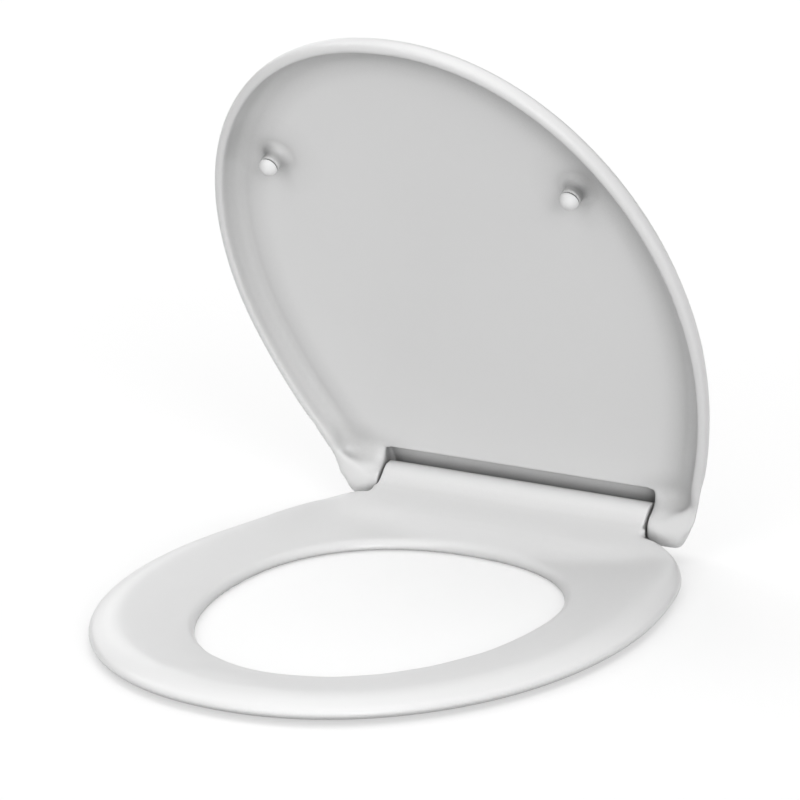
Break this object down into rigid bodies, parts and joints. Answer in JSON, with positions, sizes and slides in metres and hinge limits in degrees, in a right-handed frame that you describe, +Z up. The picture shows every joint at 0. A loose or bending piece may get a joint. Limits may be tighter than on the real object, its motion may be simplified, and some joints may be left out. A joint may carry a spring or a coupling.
{
  "type": "toilet seat",
  "caption": "Moulded toilet seat with a dished ring, a domed lid on a slow-close hinge, hinge posts that bolt to a toilet pan, and soft buffers under ring and lid.",
  "frame": {"origin": "midway between the two fixing holes, on the plane the seat stands on", "axes": "+Z up, -Y toward the front of the seat, +X to the right seen from the front"},
  "size_m": [0.37, 0.4468, 0.3977],
  "materials": {
    "seat_plastic": "gloss",
    "lid_plastic": "gloss",
    "post_plastic": "satin",
    "bush_plastic": "matt",
    "pin_steel": "brushed",
    "insert_brass": "plain",
    "gasket_rubber": "matt",
    "buffer_rubber": "matt",
    "bumper_rubber": "satin"
  },
  "bodies": {
    "posts": {"hinge_post_left": "post_plastic", "hinge_post_right": "post_plastic", "hinge_pin_left": "pin_steel", "hinge_pin_right": "pin_steel", "threaded_insert_left": "insert_brass", "threaded_insert_right": "insert_brass", "post_gasket_left": "gasket_rubber", "post_gasket_right": "gasket_rubber"},
    "ring": {"seat_ring": "seat_plastic", "seat_buffer_front_left": "buffer_rubber", "seat_buffer_front_right": "buffer_rubber", "seat_buffer_rear_left": "buffer_rubber", "seat_buffer_rear_right": "buffer_rubber", "ring_bush_left": "bush_plastic", "ring_bush_right": "bush_plastic"},
    "lid": {"lid": "lid_plastic", "lid_buffer_left": "bumper_rubber", "lid_buffer_right": "bumper_rubber", "lid_damper_left": "bush_plastic", "lid_damper_right": "bush_plastic"}
  },
  "joints": [
    {"name": "seat_hinge", "type": "hinge", "parent": "posts", "child": "ring", "pos_m": [0, 0.012, 0.0263], "axis": [-1, 0, 0], "range_deg": [0, 90]},
    {"name": "lid_hinge", "type": "hinge", "parent": "ring", "child": "lid", "pos_m": [0, 0.012, 0.0263], "axis": [1, 0, 0], "range_deg": [-39.7, 61.5]}
  ]
}
